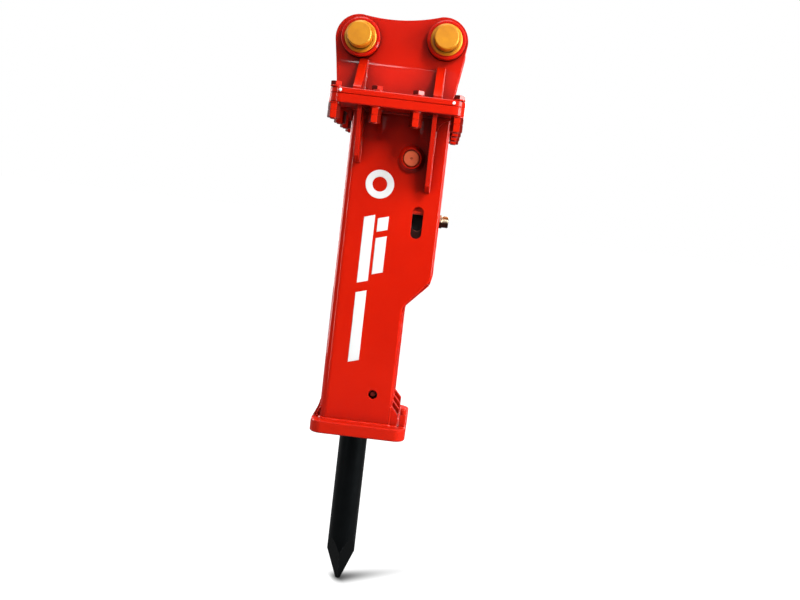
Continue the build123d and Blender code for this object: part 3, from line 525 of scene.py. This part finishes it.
def floor():
    """A pale studio floor with a painted soft contact shadow of the point, running out to one side."""
    s = Shader("pale_floor")
    parts = s.node("ShaderNodeSeparateXYZ", {0: s.place}).outputs
    turn = math.radians(27)
    along = s.math("ADD", s.math("MULTIPLY", parts[0], math.cos(turn)), s.math("MULTIPLY", parts[1], math.sin(turn)))
    across = s.math("SUBTRACT", s.math("MULTIPLY", parts[1], math.cos(turn)),
                    s.math("MULTIPLY", parts[0], math.sin(turn)))
    fade = s.math("EXPONENT", s.math("MULTIPLY", s.math("MAXIMUM", along, 0.0), -1 / 0.085))
    spread = s.math("EXPONENT", s.math("MULTIPLY", s.math("MULTIPLY", across, across), -1 / 0.026 ** 2))
    # painted shadow: a soft dark streak from the point darkens the floor's colour and its glow to the camera
    dark = s.math("MULTIPLY", s.math("MULTIPLY", fade, spread), s.spread(along, -0.022, 0.004))
    seen = s.node("ShaderNodeLightPath").outputs["Is Camera Ray"]
    light = s.math("SUBTRACT", 1.0, dark)
    s.set(Base_Color=s.mix(dark, s.mix(s.spread(s.noise(2.0), 0.3, 0.7), (0.11, 0.11, 0.11, 1), (0.13, 0.13, 0.13, 1)),
                           (0.05, 0.05, 0.05, 1)),
          Roughness=0.9, Specular_IOR_Level=0.0, Emission_Color=(1, 1, 1, 1),
          Emission_Strength=s.math("MULTIPLY", seen, s.math("MULTIPLY", light, light)))
    bpy.ops.mesh.primitive_plane_add(size=60, location=(TOOL_X, 0, FLOOR_Z - 0.3 * MM))
    plane = bpy.context.object
    plane.name = "floor"
    plane.data.materials.append(s.material)


def softbox(name, place, aim, size, power, colour=(1, 1, 1)):
    """A rectangular studio light aimed at a point."""
    data = bpy.data.lights.new(name, "AREA")
    data.shape, data.size, data.size_y = "RECTANGLE", size[0], size[1]
    data.energy, data.color = power, colour
    obj = bpy.data.objects.new(name, data)
    bpy.context.scene.collection.objects.link(obj)
    obj.location = place
    obj.rotation_mode = "QUATERNION"
    obj.rotation_quaternion = (Vector(aim) - Vector(place)).to_track_quat("-Z", "Y")
    return obj


def around(distance, azimuth, elevation, aim):
    """A place at a distance from a point: azimuth 0 in front of it, positive to its right."""
    turn, lift = math.radians(azimuth), math.radians(elevation)
    return (aim[0] + distance * math.sin(turn) * math.cos(lift), aim[1] - distance * math.cos(turn) * math.cos(lift),
            aim[2] + distance * math.sin(lift))


def studio():
    world = bpy.data.worlds.new("studio")
    bpy.context.scene.world = world
    world.use_nodes = True
    tree = world.node_tree
    tree.nodes.clear()

    def add(kind, **settings):
        made = tree.nodes.new(kind)
        for key, value in settings.items():
            setattr(made, key, value)
        return made

    path, mix, out = add("ShaderNodeLightPath"), add("ShaderNodeMixShader"), add("ShaderNodeOutputWorld")
    seen, lit = add("ShaderNodeBackground"), add("ShaderNodeBackground")
    place, parts, sky = add("ShaderNodeTexCoord"), add("ShaderNodeSeparateXYZ"), add("ShaderNodeMapRange")
    seen.inputs["Color"].default_value, seen.inputs["Strength"].default_value = (1, 1, 1, 1), 1.0
    lit.inputs["Color"].default_value = (0.97, 0.985, 1, 1)
    for socket, value in (("From Min", 0.10), ("From Max", 0.85), ("To Min", 0.07), ("To Max", 0.60)):
        sky.inputs[socket].default_value = value
    tree.links.new(place.outputs["Generated"], parts.inputs[0])
    tree.links.new(parts.outputs[2], sky.inputs["Value"])
    tree.links.new(sky.outputs[0], lit.inputs["Strength"])
    tree.links.new(path.outputs["Is Camera Ray"], mix.inputs[0])
    tree.links.new(lit.outputs[0], mix.inputs[1])
    tree.links.new(seen.outputs[0], mix.inputs[2])
    tree.links.new(mix.outputs[0], out.inputs[0])

    body, ear = (TOOL_X, 0, -0.45), (0.09, -0.10, -0.054)
    softbox("key", around(2.6, 27, 38, body), body, (0.55, 0.55), 38)
    softbox("right_wall", around(2.4, 67, 14, body), body, (1.1, 2.2), 95)
    softbox("left_strip", around(2.4, -42, 4, body), body, (0.10, 2.2), 9)
    softbox("left_wall", around(2.4, -112, 8, body), body, (0.7, 2.2), 38)
    softbox("crease_left", around(2.8, -6.5, 18, ear), ear, (0.30, 0.30), 2.6)
    softbox("crease_right", around(2.8, 0.0, 17, ear), ear, (0.20, 0.09), 0.3)
    softbox("top", (-0.3, 0.4, 2.3), body, (1.2, 1.2), 12)
    softbox("back", around(2.6, 160, 25, body), body, (1.0, 1.8), 60)
    softbox("back_left", around(2.6, -150, 10, body), body, (1.0, 1.8), 30)


def camera():
    """At the photo's angle: a little right of the object, below its flange, rolled so it leans."""
    data = bpy.data.cameras.new("camera")
    data.sensor_width, data.lens = 36.0, 38.25
    data.shift_x, data.shift_y = -0.0388, -0.0475
    eye, pitch, roll = Vector((0.217, -2.060, -0.350)), math.radians(4.0), math.radians(6.8)
    ahead = Vector((0, math.cos(pitch), -math.sin(pitch)))
    level = Vector((1, 0, 0))
    upright = level.cross(ahead)
    right = level * math.cos(roll) + upright * math.sin(roll)
    up = upright * math.cos(roll) - level * math.sin(roll)
    obj = bpy.data.objects.new("camera", data)
    obj.matrix_world = Matrix.Translation(eye) @ Matrix((right, up, -ahead)).transposed().to_4x4()
    bpy.context.scene.collection.objects.link(obj)
    bpy.context.scene.camera = obj


floor()
studio()
camera()
bpy.context.scene.view_settings.view_transform = "Standard"
